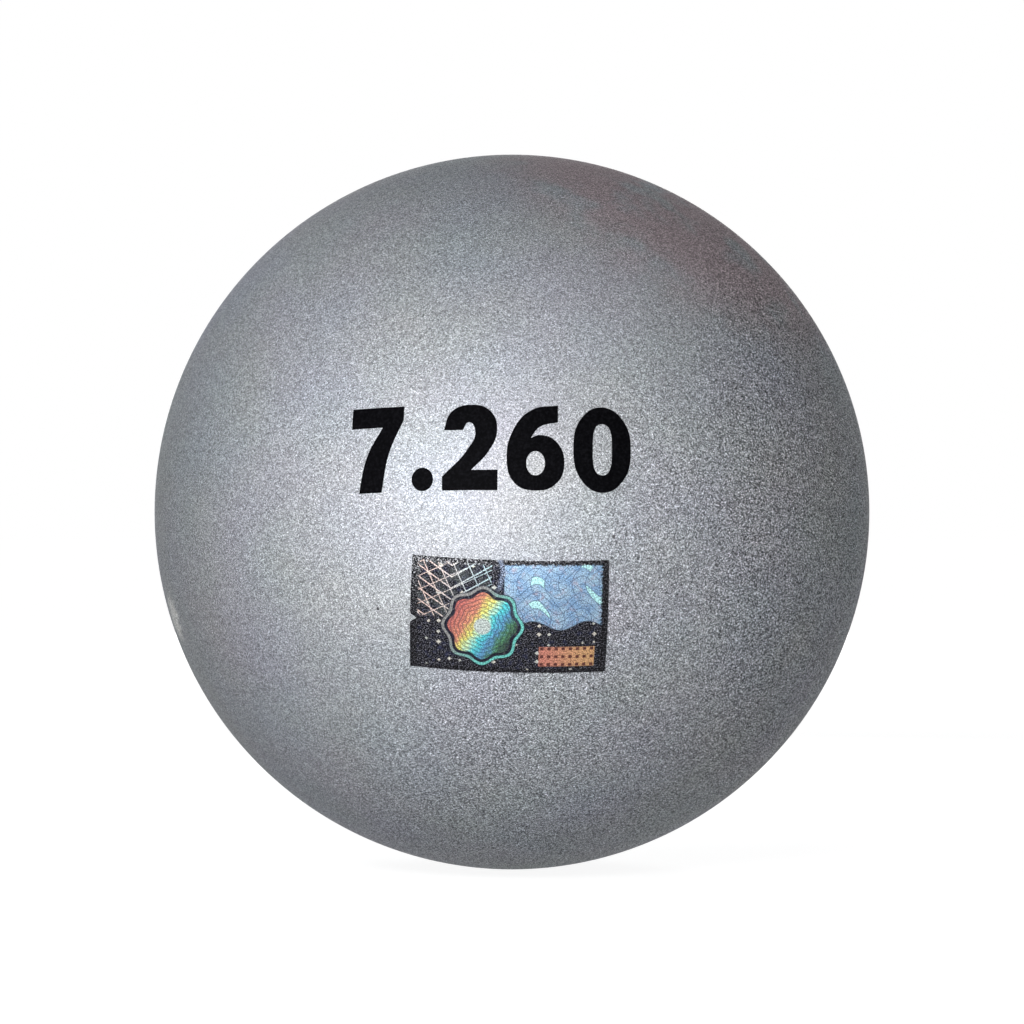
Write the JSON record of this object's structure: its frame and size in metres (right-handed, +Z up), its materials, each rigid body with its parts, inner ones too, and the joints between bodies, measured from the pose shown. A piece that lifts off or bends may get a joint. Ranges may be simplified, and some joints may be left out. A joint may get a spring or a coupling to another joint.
{
  "type": "shot put",
  "caption": "Round silver metal throwing shot with a rectangular foil label on its front and a flush screwed calibration plug with a hexagon socket at its rear.",
  "frame": {"origin": "centre of the ball", "axes": "+Y along the port's axis, out through the plug at the rear; -Y through the front, which carries the label; +Z up, with the label upright and below the middle of the front"},
  "size_m": [0.122, 0.1217, 0.122],
  "materials": {
    "silver_coat": "satin silver flake paint with a fine sparkle",
    "weld_steel": "ground weld bead",
    "turned_steel": "turned steel",
    "lead_and_resin": "lead shot cast in dark resin",
    "zinc_plate": "zinc plated pressed steel",
    "lead": "dull punched lead",
    "black_rubber": "matte black rubber",
    "copper": "annealed copper",
    "label_foil": "holographic foil film"
  },
  "bodies": {
    "shot": {"front_shell": "silver_coat", "rear_shell": "silver_coat", "girth_weld": "weld_steel", "port_weld": "weld_steel", "port_bush": "turned_steel", "ballast_fill": "lead_and_resin", "calibration_cup": "zinc_plate", "trim_disc_1": "lead", "trim_disc_2": "lead", "trim_disc_3": "lead", "trim_disc_4": "lead", "packing_pad": "black_rubber", "security_label": "label_foil"},
    "washer": {"seal_washer": "copper"},
    "plug": {"port_plug": "silver_coat"}
  },
  "joints": [
    {"name": "plug_travel", "type": "slide", "parent": "shot", "child": "washer", "axis": [0, 1, 0], "range_m": [0, 0.009]},
    {"name": "plug_turn", "type": "hinge", "parent": "washer", "child": "plug", "pos_m": [0, 0.0546, 0], "axis": [0, 1, 0], "range_deg": [0, 1620]}
  ],
  "couplings": [
    {"joint": "plug_turn", "follows": "plug_travel", "rad_per_m": 3141.6}
  ]
}
